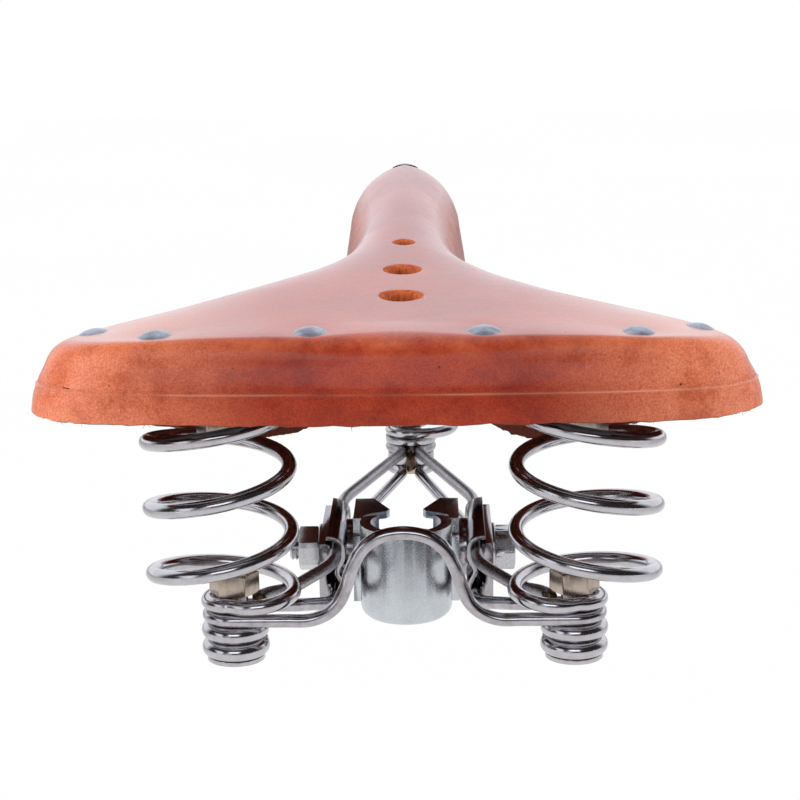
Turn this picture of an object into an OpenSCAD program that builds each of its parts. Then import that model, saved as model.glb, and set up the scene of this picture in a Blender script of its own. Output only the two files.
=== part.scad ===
// Sprung leather bicycle saddle with its seat-post clamp.
// Millimetres. The origin is the centre of the lower mouth of the seat-post socket.
// +Z is up, +Y points to the nose of the saddle and +X to its right side.

/* [Leather] */
// Thickness of the hide
hide_t = 4.8; // [3.5:0.1:5.5]
// Depth of the rounded shoulder between the top and the skirt
shoulder = 7; // [5:0.5:8]
// Diameters of the vent holes, from the back to the nose
vent_d = [11, 9.6, 5.6]; // [4:0.2:12]
// Places of the vent holes along the saddle
vent_y = [-28, 2, 36]; // [-35:1:60]

/* [Springs] */
// Wire diameter of the rear springs
spring_wire = 4.5; // [4:0.1:4.6]
// Mean radius of the rear springs
spring_r = 20.6; // [19:0.1:20.6]
// Rise of the rear springs in one turn
spring_pitch = 19.95; // [18:0.05:20]
// Wire diameter of the nose spring
nose_wire = 4.1; // [3.6:0.1:4.2]
// Mean radius of the nose spring
nose_spring_r = 16.1; // [15:0.1:16.2]

/* [Frame] */
// Wire diameter of the rails
rail_wire = 4; // [3.6:0.1:4]
// Half of the distance between the left and right rails at the clamp
rail_x = 22.6; // [22.4:0.1:22.8]
// Half of the distance between the base bolts
base_x = 50.4; // [49:0.1:50.5]
// Place of the spring axes along the saddle
base_y = -40; // [-42:0.5:-38]
// Place of the nose bolt along the saddle
nose_y = 137; // [132:0.5:140]
// Height of the crown of the rear arch
arch_z = 41.2; // [38:0.2:44]

/* [Seat-post clamp] */
// Bore of the socket, for a 7/8 inch seat post
post_d = 22.2; // [21.8:0.1:22.4]
// Height of the socket
socket_h = 24; // [22:0.5:26]
// Place of the cross bolt along the saddle
clamp_y = 24; // [23:0.5:26]
// Height of the cross bolt
clamp_z = 14.4; // [14:0.1:15]
// Length of the cheeks along the rails
cheek_len = 44; // [40:1:45]

/* [Hidden] */

$fn = 48;
gap = 0.05;        // air between pieces that touch
bolt_r = 4;        // M8 shank
nut_af = 13;       // M8 nut across flats
nut_h = 6.5;
rail_r = rail_wire / 2;

// Heights of the stack of pieces on each base bolt, from the bottom up
coil_wire = 5.3;
base_head_h = 2.2;
base_bottom = -0.4;
base_coil_z = base_bottom + base_head_h + coil_wire / 2;
base_loop_z = base_coil_z + 1.5 * coil_wire + rail_r + 2 * gap;
spring_z = base_loop_z + rail_r + spring_wire / 2 + gap;
base_nut_z = spring_z + spring_wire / 2 + gap;
base_loop_r = 7.7;
// Angles on the base coil: its ends, and where it steps down
coil_from = -5;
coil_to = -640;
coil_step = -290;
coil_step_turn = 60;

// The rear springs: turns of wire, and the eased ends
spring_turns = 4.56;
spring_start = -280;
loop_r = 7.6;
ease_from = 0.3;
ease_turns = 1;
spring_h = spring_pitch * (spring_turns - 2 * ease_from - ease_turns);
spring_x = base_x + 2.8;
spring_top_x = base_x + 3.8;
top_bolt_x = base_x + 2.2;
spring_lean = 0.037;
lug_z = spring_z + spring_h + spring_wire / 2 + gap;
lug_t = 2.5;
wire_sides = 10;
turn_steps = 20;

// The rails
rail_up_z = 20.7;
rail_low_z = 8;
nose_loop_r = 7.6;
nose_low_z = 12;
nose_up_z = 20;
nose_neck = [2.6, -9.5]; // corner of the neck, from the nose bolt
straight_front = 60;
straight_back = -13;
back_bend = 6;
front_bend = 8;

// The nose spring
nose_seat_t = 2.2;
nose_spring_z = nose_up_z + rail_r + nose_seat_t + nose_wire / 2 + 2 * gap;
nose_turns = 4.56;
nose_pitch = 16.2;
nose_spring_h = nose_pitch * (nose_turns - 2 * ease_from - ease_turns);
shelf_z = nose_spring_z + nose_spring_h + nose_wire / 2 + gap;
shelf_t = 2.4;

// The seat-post clamp, measured outwards from the middle
band_r = 14.5;
ear_in = 13.5;
ear_out = 16.8;
inner_cheek_x = ear_out + 0.1;
cheek_sheet = 1.3;
outer_cheek_x = rail_x + 1.4;
outer_cheek_end = 27.5;
washer_t = 1.2;
nut_x = outer_cheek_end + washer_t + 2 * gap;
cheek_y0 = clamp_y - cheek_len / 2 - 4;
cheek_bottom = 3.6;
cheek_top = 23.7;
hinge_gap = 0.08;

// ---- curves ----

function unit(v) = v / norm(v);
function ease(t) = t <= 0 ? 0 : t >= 1 ? 1 : t * t * (3 - 2 * t);
function mirrored(p) = [for (i = [len(p) - 1:-1:0]) [-p[i][0], p[i][1], p[i][2]]];

// A smooth curve through a, b, c and d, from b to c
function between(a, b, c, d, t) = 0.5 * (2 * b + (c - a) * t + (2 * a - 5 * b + 4 * c - d) * t * t
    + (3 * b - a - 3 * c + d) * t * t * t);
function smooth_path(p, n) = [
    for (i = [0:len(p) - 2]) for (j = [0:n - 1])
        between(p[max(i - 1, 0)], p[i], p[i + 1], p[min(i + 2, len(p) - 1)], j / n),
    p[len(p) - 1]];

// The points of a bend at corner b, reaching d along each leg
function bend(a, b, c, d, n = 5) = [
    for (j = [0:n]) let (t = j / n, p = b + unit(a - b) * d, q = b + unit(c - b) * d)
        (1 - t) * (1 - t) * p + 2 * t * (1 - t) * b + t * t * q];
function arc(cx, cy, r, a0, a1, z, n) = [
    for (j = [0:n]) let (a = a0 + (a1 - a0) * j / n) [cx + r * cos(a), cy + r * sin(a), z]];

// Round wire swept along a path that is never upright
module wire(path, r, sides = wire_sides) {
    n = len(path);
    rings = [for (i = [0:n - 1])
        let (t = unit(path[min(i + 1, n - 1)] - path[max(i - 1, 0)]),
             a = unit(cross(t, [0, 0, 1])), b = cross(a, t))
        for (k = [0:sides - 1]) let (w = 360 * k / sides) path[i] + r * (cos(w) * a + sin(w) * b)];
    skin = [for (i = [0:n - 2]) for (k = [0:sides - 1])
        let (k1 = (k + 1) % sides, p = i * sides + k, q = i * sides + k1)
        each [[p, q, q + sides], [p, q + sides, p + sides]]];
    first = n * sides;
    caps = [for (k = [0:sides - 1]) let (k1 = (k + 1) % sides)
        each [[first, k1, k], [first + 1, (n - 1) * sides + k, (n - 1) * sides + k1]]];
    polyhedron(concat(rings, [path[0], path[n - 1]]), concat(skin, caps));
}

// ---- leather ----

// Each row is a place on the edge of the right half, from the nose tip to the middle of the back:
// shoulder x, y, z and hem x, y, z
edge = [
    [0, 188, 113, 0, 194, 86],
    [10, 185.3, 112, 12, 190, 83],
    [17.2, 177.5, 110.3, 20, 181.5, 78],
    [20, 162, 109.3, 23, 164, 71],
    [20, 143, 107.8, 24.1, 143, 64.5],
    [18.6, 120, 105.5, 23.9, 120, 60],
    [18, 96, 103.2, 24.4, 96, 57],
    [19.2, 72, 101.6, 27, 72, 54],
    [22.6, 50, 100.4, 31, 50, 52.5],
    [30.5, 30, 99.8, 38.5, 29, 52.2],
    [42.5, 12, 99.8, 50, 9, 55],
    [57, -5, 100.3, 64, -8, 62.6],
    [72, -21, 100.9, 79, -22.5, 69.2],
    [86.2, -36, 100.5, 93.5, -35.5, 76],
    [96, -49, 100.3, 103.2, -47.5, 79.9],
    [95, -63, 101.1, 100.6, -64, 81.1],
    [82.4, -71.5, 102.7, 85.4, -74, 81.1],
    [58, -73.8, 103.8, 60, -77, 81],
    [29, -74.7, 104, 30, -78.3, 81],
    [0, -75, 104, 0, -78.7, 81]];
edge_last = len(edge) - 1;
edge_steps = 2;
half_n = edge_last * edge_steps;
loop_n = 2 * half_n;

function flip6(e) = [-e[0], e[1], e[2], -e[3], e[4], e[5]];
function edge_key(i) = i < 0 ? flip6(edge[-i]) : i > edge_last ? flip6(edge[2 * edge_last - i]) : edge[i];
function edge_half(u) = let (i = min(floor(u), edge_last - 1))
    between(edge_key(i - 1), edge_key(i), edge_key(i + 1), edge_key(i + 2), u - i);
// The edge all the way round: 0 is the nose tip and half_n the middle of the back
function edge_at(k) = let (j = (k + loop_n) % loop_n)
    j <= half_n ? edge_half(j / edge_steps) : flip6(edge_half((loop_n - j) / edge_steps));

// Crest line of the top
crest = [[-74, 104.3], [-28, 107.4], [2, 110.2], [36, 113.9], [72, 117.3], [110, 120.3], [145, 122.9],
    [170, 124]];
function crest_z(y) = lookup(y, crest);
back_y = -75;
nose_tip_y = 188;
function spine_y(y) = -56 + (y - back_y) * (166 + 56) / (nose_tip_y - back_y);

// A section of the hide from near the spine to the hem, on the surface t below the outside
top_steps = [0.14, 0.34, 0.54, 0.72];
function section(k, t) = let (
        e = edge_at(k), d = edge_at(k + 1) - edge_at(k - 1),
        out = unit([-d[1], d[0]]) * (d[1] * e[0] - d[0] * (e[1] - spine_y(e[1])) > 0 ? -1 : 1),
        rim = [e[0] - out[0] * t, e[1] - out[1] * t, e[2] - t],
        hem = [e[3] - out[0] * t, e[4] - out[1] * t, e[5]],
        sy = spine_y(e[1]), sz = crest_z(sy) - t, span = norm([rim[0], rim[1] - sy]),
        s_end = 1 - shoulder / span, round_r = max(shoulder - t * 0.7, 2),
        down = rim + unit(hem - rim) * round_r, edge_in = top_at(rim, sy, sz, s_end))
    concat([for (s = top_steps) top_at(rim, sy, sz, s * s_end)],
        [for (j = [0:4]) let (w = j / 4)
            (1 - w) * (1 - w) * edge_in + 2 * w * (1 - w) * rim + w * w * down],
        [for (w = [0.35, 0.7, 1]) down + (hem - down) * w]);
function top_at(rim, sy, sz, s) = [rim[0] * s, sy + (rim[1] - sy) * s, sz + (rim[2] - sz) * pow(s, 2.3)];
section_n = len(top_steps) + 8;

module leather_shell() {
    outer = [for (k = [0:loop_n - 1]) each section(k, 0)];
    inner = [for (k = [0:loop_n - 1]) each section(k, hide_t)];
    m = section_n;
    shift = loop_n * m;
    skin = [for (k = [0:loop_n - 1]) for (j = [0:m - 2])
        let (k1 = (k + 1) % loop_n, a = k * m + j, b = k1 * m + j)
        each [[a, a + 1, b + 1], [a, b + 1, b],
            [shift + a, shift + b + 1, shift + a + 1], [shift + a, shift + b, shift + b + 1]]];
    hem = [for (k = [0:loop_n - 1]) let (a = k * m + m - 1, b = ((k + 1) % loop_n) * m + m - 1)
        each [[a, shift + a, shift + b], [a, shift + b, b]]];
    // The two sides of the first ring are bridged across the spine
    bridge = [for (k = [0:half_n - 1])
        let (a = k * m, b = (k + 1) * m, c = ((loop_n - k - 1) % loop_n) * m, d = ((loop_n - k) % loop_n) * m)
        each concat(
            k == half_n - 1 ? [] : [[a, b, c], [shift + a, shift + c, shift + b]],
            k == 0 ? [] : [[a, c, d], [shift + a, shift + d, shift + c]])];
    polyhedron(concat(outer, inner), concat(skin, hem, bridge));
}

module leather_cover() {
    color("peru") difference() {
        leather_shell();
        for (i = [0:2])
            translate([0, vent_y[i], 90]) cylinder(d = vent_d[i], h = 50);
    }
}

// A steel plate pressed to the inside of the hide, between stations k0 and k1 of the edge
// and between points j0 and j1 of the section
module pressed_plate(k0, k1, j0, j1, t) {
    nk = k1 - k0 + 1;
    nj = j1 - j0 + 1;
    outer = [for (k = [k0:k1]) let (s = section(k, hide_t + gap)) for (j = [j0:j1]) s[j]];
    inner = [for (k = [k0:k1]) let (s = section(k, hide_t + gap + t)) for (j = [j0:j1]) s[j]];
    shift = nk * nj;
    skin = [for (k = [0:nk - 2]) for (j = [0:nj - 2]) let (a = k * nj + j, b = a + nj)
        each [[a, a + 1, b + 1], [a, b + 1, b],
            [shift + a, shift + b + 1, shift + a + 1], [shift + a, shift + b, shift + b + 1]]];
    sides = [for (k = [0:nk - 2]) let (a = k * nj, b = a + nj, c = a + nj - 1, d = b + nj - 1)
        each [[a, b, shift + b], [a, shift + b, shift + a],
            [c, shift + d, d], [c, shift + c, shift + d]]];
    ends = [for (j = [0:nj - 2]) let (a = j, c = (nk - 1) * nj + j)
        each [[a, shift + a + 1, a + 1], [a, shift + a, shift + a + 1],
            [c, c + 1, shift + c + 1], [c, shift + c + 1, shift + c]]];
    polyhedron(concat(outer, inner), concat(skin, sides, ends));
}

// ---- fasteners ----

// Hexagon with chamfered corners, standing on z = 0
module hexagon(af, h, chamfer = 0.8) {
    r = af / sqrt(3);
    intersection() {
        rotate([0, 0, 30]) cylinder(r = r, h = h, $fn = 6);
        union() {
            cylinder(r1 = r - chamfer, r2 = r, h = chamfer / 2);
            translate([0, 0, chamfer / 2]) cylinder(r = r, h = h - chamfer);
            translate([0, 0, h - chamfer / 2]) cylinder(r1 = r, r2 = r - chamfer, h = chamfer / 2);
        }
    }
}

module nut(turn = 0) {
    difference() {
        rotate([0, 0, turn]) hexagon(nut_af, nut_h);
        translate([0, 0, -1]) cylinder(r = bolt_r + gap, h = nut_h + 2);
    }
}

// Shallow dome of a rivet head on z = 0, with its shank below
module rivet(d, dome, shank, shank_d = 4) {
    ball = (d * d / 4 + dome * dome) / (2 * dome);
    intersection() {
        translate([0, 0, dome - ball]) sphere(r = ball);
        cylinder(d = d, h = dome + 1);
    }
    translate([0, 0, -shank]) cylinder(d = shank_d, h = shank + dome / 2);
}

// ---- riveted steel plates under the hide ----

plate_t = 1.8;
cantle_half = 11;
cantle_from = 3;
cantle_to = 10;
lug_r = 10.5;
lug_back = -67;
web_t = 3;
web_top = 96.5;

module cantle_plate() {
    color("dimgray") difference() {
        union() {
            pressed_plate(half_n - cantle_half, half_n + cantle_half, cantle_from, cantle_to, plate_t);
            for (s = [-1, 1]) translate([s * top_bolt_x, 0, 0]) spring_lug();
        }
        for (s = [-1, 1])
            translate([s * top_bolt_x, base_y, lug_z - 1]) cylinder(r = bolt_r + gap, h = lug_t + 2);
    }
}

// Tongue that a rear spring hangs on, with its upright web
module spring_lug() {
    translate([0, 0, lug_z]) linear_extrude(lug_t) union() {
        translate([0, base_y]) circle(r = lug_r);
        translate([-lug_r, lug_back]) square([2 * lug_r, base_y - lug_back]);
    }
    translate([-lug_r, lug_back, lug_z]) cube([2 * lug_r, web_t, web_top - lug_z]);
}

nose_half = 8;
nose_from = 2;
nose_to = 9;
cup_r = 14.2;
cup_t = 2.4;
cup_y = 168;
cup_top = 97;
shelf_back = 124;

module cup_outline(r) {
    translate([0, cup_y]) circle(r = r);
    translate([-r, shelf_back]) square([2 * r, cup_y - shelf_back]);
}

module nose_plate() {
    color("dimgray") difference() {
        union() {
            pressed_plate(-nose_half, nose_half, nose_from, nose_to, plate_t);
            translate([0, 0, shelf_z]) linear_extrude(shelf_t) cup_outline(cup_r);
            translate([0, 0, shelf_z]) linear_extrude(cup_top - shelf_z) difference() {
                cup_outline(cup_r);
                cup_outline(cup_r - cup_t);
                translate([-cup_r - 1, 0]) square([2 * cup_r + 2, cup_y - 18]);
            }
        }
        translate([0, nose_y, shelf_z - 1]) cylinder(r = bolt_r + gap, h = shelf_t + 2);
    }
}

// ---- rivets ----

rear_rivet_d = 10.6;
rivet_dome = 1.9;
rivet_shank = 6.2;
// Places of the rear rivets on the right half: x, y, height, and tilts backwards and sideways
rear_rivet_at = [[23.9, -66.5, 104.1, 4.5, 0.3], [66.8, -64.5, 103.1, 1.5, 2.8], [86.5, -48, 100.6, -4, 11]];
nose_rivet_d = 10.4;
nose_top_rivet = [0, 177, 121.2, 27];
nose_side_rivet = [14.9, 180.7, 106.6];

module rear_rivets() {
    color("slategray") for (s = [-1, 1], p = rear_rivet_at)
        translate([s * p[0], p[1], p[2]]) rotate([p[3], s * p[4], 0])
            rivet(rear_rivet_d, rivet_dome, rivet_shank);
}

module nose_rivets() {
    color("slategray") {
        translate([nose_top_rivet[0], nose_top_rivet[1], nose_top_rivet[2]])
            rotate([-nose_top_rivet[3], 0, 0]) rivet(nose_rivet_d, rivet_dome, rivet_shank);
        for (s = [-1, 1])
            translate([s * nose_side_rivet[0], nose_side_rivet[1], nose_side_rivet[2]])
                rotate([-80, 0, -s * 50])
                    rivet(nose_rivet_d, rivet_dome, rivet_shank);
    }
}

// ---- springs ----

// Rise of an eased coil in turns: flat, then a growing and then a steady slope
function ramp(t) = let (s = max(t - ease_from, 0) / ease_turns)
    ease_turns * (s <= 1 ? s * s * s - s * s * s * s / 2 : s - 0.5);
function rise(t, turns, pitch) = t <= turns / 2 ? pitch * ramp(t)
    : pitch * (turns - 2 * ease_from - ease_turns - ramp(turns - t));
// 0 on the small end loops and 1 on the full coils
function openness(t, turns) = ease((min(t, turns - t) - 0.5) / 0.28);
// Path of a spring from its foot: c0 and c1 are the x of its end loops, m0 and m1 of its coil axis
function spring_path(turns, pitch, r, c0, c1, m0, m1, y, z, lean) = [
    for (i = [0:round(turns * turn_steps)])
        let (t = i / turn_steps, u = t / turns, w = openness(t, turns), a = spring_start + 360 * t,
             c = (c0 + (c1 - c0) * u) * (1 - w) + (m0 + (m1 - m0) * u) * w, rr = loop_r + (r - loop_r) * w)
        [c + rr * cos(a), y + rr * sin(a), z + rise(t, turns, pitch) + lean * w * rr * cos(a)]];

module left_spring() {
    color("silver") wire(spring_path(spring_turns, spring_pitch, spring_r, -base_x, -top_bolt_x,
        -spring_x, -spring_top_x, base_y, spring_z, spring_lean), spring_wire / 2);
}

module right_spring() {
    mirror([1, 0, 0]) left_spring();
}

module nose_spring() {
    color("silver") wire(spring_path(nose_turns, nose_pitch, nose_spring_r, 0, 0, 0, 0,
        nose_y, nose_spring_z, 0), nose_wire / 2);
}

top_head_h = 5;
nut_drop = 1.2;

// Bolts that hang each rear spring on its lug
module spring_top_bolts() {
    top = lug_z + lug_t + gap;
    low = lug_z - spring_wire - 2 * gap - nut_h - nut_drop;
    color("silver") for (s = [-1, 1]) translate([s * top_bolt_x, base_y, 0]) {
        translate([0, 0, top]) rotate([0, 0, 30]) hexagon(nut_af, top_head_h);
        translate([0, 0, low]) cylinder(r = bolt_r, h = top - low + 1);
    }
}

module spring_top_nuts() {
    color("silver") for (s = [-1, 1])
        translate([s * top_bolt_x, base_y, lug_z - spring_wire - 2 * gap - nut_h - gap]) nut(30);
}

// ---- base stacks ----

module base_bolts() {
    dome = 0.9;
    head_r = 8.6;
    ball = (head_r * head_r + dome * dome) / (2 * dome);
    color("silver") for (s = [-1, 1]) translate([s * base_x, base_y, base_bottom]) {
        intersection() {
            translate([0, 0, ball]) sphere(r = ball, $fn = 96);
            cylinder(r = head_r, h = base_head_h);
        }
        translate([0, 0, 1]) cylinder(r = bolt_r, h = base_nut_z + nut_h - base_bottom - 1.4);
    }
}

module base_nuts() {
    color("tan") for (s = [-1, 1]) translate([s * base_x, base_y, base_nut_z]) nut(30);
}

// Two flat turns of thick wire with a steep step between them, on the inner side
module base_coil() {
    r = bolt_r + coil_wire / 2 + 0.55;
    sweep = coil_from - coil_to;
    steps = round(sweep / 18);
    path = [for (i = [0:steps])
        let (a = coil_from - sweep * i / steps,
             z = base_coil_z + (coil_wire + gap) * (1 - ease((coil_step - a) / coil_step_turn)))
        [r * cos(a), r * sin(a), z]];
    wire(path, coil_wire / 2);
}

module left_base_coil() {
    color("silver") translate([-base_x, base_y, 0]) base_coil();
}

module right_base_coil() {
    mirror([1, 0, 0]) left_base_coil();
}

// ---- rails ----

// Right half of a rail from the front of the nose loop to the back of its straight part
function rail_front(nose_z, clamp_level) = let (
        loop_end = -35,
        a = [nose_loop_r * cos(loop_end), nose_y + nose_loop_r * sin(loop_end), nose_z],
        neck = [nose_neck[0], nose_y + nose_neck[1], nose_z],
        b = [rail_x, straight_front, clamp_level],
        c = [rail_x, straight_back, clamp_level])
    concat(arc(0, nose_y, nose_loop_r, 90, loop_end, nose_z, 7), bend(a, neck, b, 4),
        bend(neck, b, c, front_bend));

function upper_half() = let (
        b = [rail_x, straight_front, rail_up_z],
        c = [rail_x, straight_back, rail_up_z],
        // It dips under the first coil of the spring, then rests on the loop of the lower rail
        dip = [34.8, -26.8, 17.35],
        rest = [40.6, -34, 18.5],
        end = [43.2, -37.4, base_loop_z + 2 * rail_r + gap])
    concat(rail_front(nose_up_z, rail_up_z), bend(b, c, dip, back_bend), bend(c, dip, rest, 4), [rest, end]);

// Right half of the rear arch, seen from behind: x and height over the base loops
arch_side = [[34, 0], [28, 0.1], [23, 1.9], [19.3, 5.3], [16.9, 10.4], [15.1, 16.1], [12, 21.7], [7, 25.4],
    [0, 26.7]];
arch_steps = 3;

function lower_half() = let (
        b = [rail_x, straight_front, rail_low_z],
        c = [rail_x, straight_back, rail_low_z],
        d = [35.5, base_y + base_loop_r, base_loop_z - 0.6],
        e = [base_x, base_y + base_loop_r, base_loop_z],
        arch_y = base_y - base_loop_r,
        lift = (arch_z - base_loop_z) / arch_side[len(arch_side) - 1][1],
        side = [for (p = arch_side) [p[0], arch_y, base_loop_z + p[1] * lift]],
        across = concat(side, [mirrored(side)[1]]),
        arch = smooth_path(across, arch_steps))
    concat(rail_front(nose_low_z, rail_low_z), bend(b, c, d, back_bend), bend(c, d, e, 8),
        arc(base_x, base_y, base_loop_r, 90, -90, base_loop_z, 10),
        [for (i = [0:arch_steps * (len(side) - 1)]) arch[i]]);

module upper_rail() {
    half = upper_half();
    left = mirrored(half);
    color("silver") wire(concat([for (i = [0:len(half) - 2]) left[i]], half), rail_r);
}

// One wire: its ends meet at the front of the nose loop, with a cut between them
loop_cut = 0.6;
module lower_rail() {
    half = lower_half();
    left = mirrored(half);
    n = len(half);
    color("silver") wire(concat(half, [for (i = [1:n - 2]) left[i]],
        [[-loop_cut, nose_y + nose_loop_r, nose_low_z]]), rail_r);
}

// ---- nose stack ----

nose_seat_r = 9.6;
nose_spacer_r = 8.8;
nose_collar_r = nose_loop_r - rail_r - gap;
nose_nut_z = nose_spring_z + nose_wire / 2 + gap;

module nose_spacer() {
    h = nose_up_z - nose_low_z - 2 * rail_r - 2 * gap;
    color("lightgray") translate([0, nose_y, nose_low_z + rail_r + gap]) difference() {
        cylinder(r = nose_spacer_r, h = h);
        translate([0, 0, -1]) cylinder(r = bolt_r + gap, h = h + 2);
    }
}

module nose_seat() {
    color("lightgray") translate([0, nose_y, nose_up_z + rail_r + gap]) difference() {
        cylinder(r = nose_seat_r, h = nose_seat_t);
        translate([0, 0, -1]) cylinder(r = bolt_r + gap, h = nose_seat_t + 2);
    }
}

// Stud whose collar fills the eye of the lower rail
module nose_bolt() {
    low = nose_low_z - rail_r;
    color("silver") translate([0, nose_y, low]) {
        cylinder(r = nose_collar_r, h = 2 * rail_r);
        cylinder(r = bolt_r, h = nose_nut_z + nut_h + nut_drop - low);
    }
}

module nose_nut() {
    color("silver") translate([0, nose_y, nose_nut_z]) nut(30);
}

module nose_top_bolt() {
    top = shelf_z + shelf_t + gap;
    low = shelf_z - nose_wire - 2 * gap - nut_h - nut_drop;
    color("silver") translate([0, nose_y, 0]) {
        translate([0, 0, top]) rotate([0, 0, 30]) hexagon(nut_af, top_head_h);
        translate([0, 0, low]) cylinder(r = bolt_r, h = top - low + 1);
    }
}

module nose_top_nut() {
    color("silver") translate([0, nose_y, shelf_z - nose_wire - 3 * gap - nut_h]) nut(30);
}

// ---- seat-post clamp ----

foot_round = 4;
slot_w = 9;
ear_front = 13;
ear_back = 1.5;
ear_low = 3.6;
ear_top = 30;
hook_t = 2.4;
hook_back = 5;
hook_front = 28;
hook_outline = [[ear_out - 0.2, hook_back], [ear_out - 0.2, hook_front], [10.8, 28.2], [5.4, 15.4],
    [6.3, 13.2], [11.6, 10.6]];

// The wall behind the post stands higher than the socket
wall_top = 30.4;
wall_front = 7;

module ear() {
    // Side view of the ear, drawn with its width along +Y and its height along +Z
    translate([ear_in, 0, 0]) rotate([90, 0, 90]) linear_extrude(ear_out - ear_in) union() {
        translate([clamp_y, clamp_z]) circle(r = ear_front);
        translate([ear_back, ear_low]) square([clamp_y - ear_back, 2 * (clamp_z - ear_low)]);
        translate([hook_back, clamp_z]) square([hook_front - hook_back, ear_top - clamp_z]);
    }
    translate([0, 0, ear_top - hook_t]) linear_extrude(hook_t) polygon(hook_outline);
}

module clamp_band() {
    color("lightsteelblue") difference() {
        union() {
            rotate_extrude() union() {
                translate([band_r - foot_round, foot_round]) circle(r = foot_round);
                translate([band_r - foot_round, foot_round]) square([foot_round, socket_h - foot_round]);
                translate([post_d / 2 - 2, 0]) square([band_r - foot_round - post_d / 2 + 2, socket_h]);
            }
            intersection() {
                cylinder(r = band_r, h = wall_top);
                translate([-band_r, -band_r, socket_h - 1]) cube([2 * band_r, band_r + wall_front, wall_top]);
            }
            ear();
            mirror([1, 0, 0]) ear();
        }
        translate([0, 0, -1]) cylinder(d = post_d, h = wall_top + 2);
        translate([-slot_w / 2, 0, -1]) cube([slot_w, 30, ear_top + 2]);
        translate([-30, clamp_y, clamp_z]) rotate([0, 90, 0]) cylinder(r = bolt_r + gap, h = 60);
    }
}

// Sheet of thickness t along a flat path
module sheet(path, t) {
    n = len(path);
    side = [for (i = [0:n - 1]) let (d = unit(path[min(i + 1, n - 1)] - path[max(i - 1, 0)])) [-d[1], d[0]]];
    polygon(concat([for (i = [0:n - 1]) path[i] + side[i] * t / 2],
        [for (i = [n - 1:-1:0]) path[i] - side[i] * t / 2]));
}

boss_r = 9.5;
bulge = 2;

// Bent sheet between a serrated ear and the rails, for the right side. It touches the inner side
// of both rails, bulges between them and stands over the upper one as a hood.
module inner_cheek() {
    touch = rail_x - rail_r - gap - cheek_sheet / 2;
    profile = smooth_path([[touch + 5.2, rail_up_z + 5], [touch + 2.2, rail_up_z + 4.3],
        [touch + 0.4, rail_up_z + 2.6], [touch, rail_up_z], [touch + 0.2, rail_up_z - 2.4],
        [touch + bulge, clamp_z], [touch + 0.2, rail_low_z + 2.4], [touch, rail_low_z],
        [touch + 0.7, cheek_bottom + 1.2]], 4);
    difference() {
        union() {
            translate([0, cheek_y0 + cheek_len, 0]) rotate([90, 0, 0])
                linear_extrude(cheek_len) sheet(profile, cheek_sheet);
            translate([inner_cheek_x, clamp_y, clamp_z]) rotate([0, 90, 0])
                cylinder(r = boss_r, h = touch - inner_cheek_x);
        }
        translate([0, clamp_y, clamp_z]) rotate([0, 90, 0]) cylinder(r = bolt_r + hinge_gap, h = 60);
    }
}

// Flat plate with a groove for each rail and a lip at its foot, for the right side
module outer_cheek() {
    plate = 2.4;
    pad_h = 2.6;
    lip = 1.7;
    difference() {
        intersection() {
            translate([0, cheek_y0 + cheek_len, 0]) rotate([90, 0, 0]) linear_extrude(cheek_len)
            difference() {
                union() {
                    translate([outer_cheek_end - plate, cheek_bottom])
                        square([plate, cheek_top - cheek_bottom]);
                    for (z = [rail_low_z, rail_up_z]) translate([outer_cheek_x, z - pad_h])
                        square([outer_cheek_end - outer_cheek_x, 2 * pad_h]);
                    translate([outer_cheek_x - 1.4, cheek_bottom]) square([3, lip]);
                }
                for (z = [rail_low_z, rail_up_z]) translate([rail_x, z]) circle(r = rail_r + gap);
            }
            rotate([90, 0, 90]) linear_extrude(60) cheek_outline();
        }
        translate([0, clamp_y, clamp_z]) rotate([0, 90, 0]) cylinder(r = bolt_r + hinge_gap, h = 60);
    }
}

// Side view of a cheek: a rectangle with rounded lower corners
module cheek_outline() {
    r = 5;
    translate([cheek_y0, cheek_bottom + r]) square([cheek_len, cheek_top - cheek_bottom - r]);
    translate([cheek_y0 + r, cheek_bottom]) square([cheek_len - 2 * r, 2 * r]);
    translate([cheek_y0 + r, cheek_bottom + r]) circle(r = r);
    translate([cheek_y0 + cheek_len - r, cheek_bottom + r]) circle(r = r);
}

module right_inner_cheek() {
    color("gray") inner_cheek();
}

module left_inner_cheek() {
    color("gray") mirror([1, 0, 0]) inner_cheek();
}

module right_outer_cheek() {
    color("gray") outer_cheek();
}

module left_outer_cheek() {
    color("gray") mirror([1, 0, 0]) outer_cheek();
}

bolt_head_h = 6.5;
bolt_end_x = -38.4;
washer_r = 8;

module clamp_bolt() {
    color("silver") translate([0, clamp_y, clamp_z]) rotate([0, 90, 0]) {
        translate([0, 0, bolt_end_x]) cylinder(r = bolt_r, h = nut_x - bolt_end_x + 1);
        translate([0, 0, nut_x]) hexagon(nut_af, bolt_head_h);
    }
}

module clamp_nut() {
    color("silver") translate([-nut_x - nut_h, clamp_y, clamp_z]) rotate([0, 90, 0]) nut(30);
}

module clamp_washers() {
    color("silver") for (s = [-1, 1])
        translate([s > 0 ? outer_cheek_end + gap : -outer_cheek_end - gap - washer_t, clamp_y, clamp_z])
            rotate([0, 90, 0]) difference() {
                cylinder(r = washer_r, h = washer_t);
                translate([0, 0, -1]) cylinder(r = bolt_r + hinge_gap, h = washer_t + 2);
            }
}

leather_cover();
cantle_plate();
nose_plate();
rear_rivets();
nose_rivets();
left_spring();
right_spring();
spring_top_bolts();
spring_top_nuts();
base_bolts();
base_nuts();
left_base_coil();
right_base_coil();
lower_rail();
upper_rail();
nose_spring();
nose_bolt();
nose_nut();
nose_spacer();
nose_seat();
nose_top_bolt();
nose_top_nut();
clamp_band();
clamp_bolt();
clamp_nut();
clamp_washers();
left_inner_cheek();
right_inner_cheek();
left_outer_cheek();
right_outer_cheek();
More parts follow.
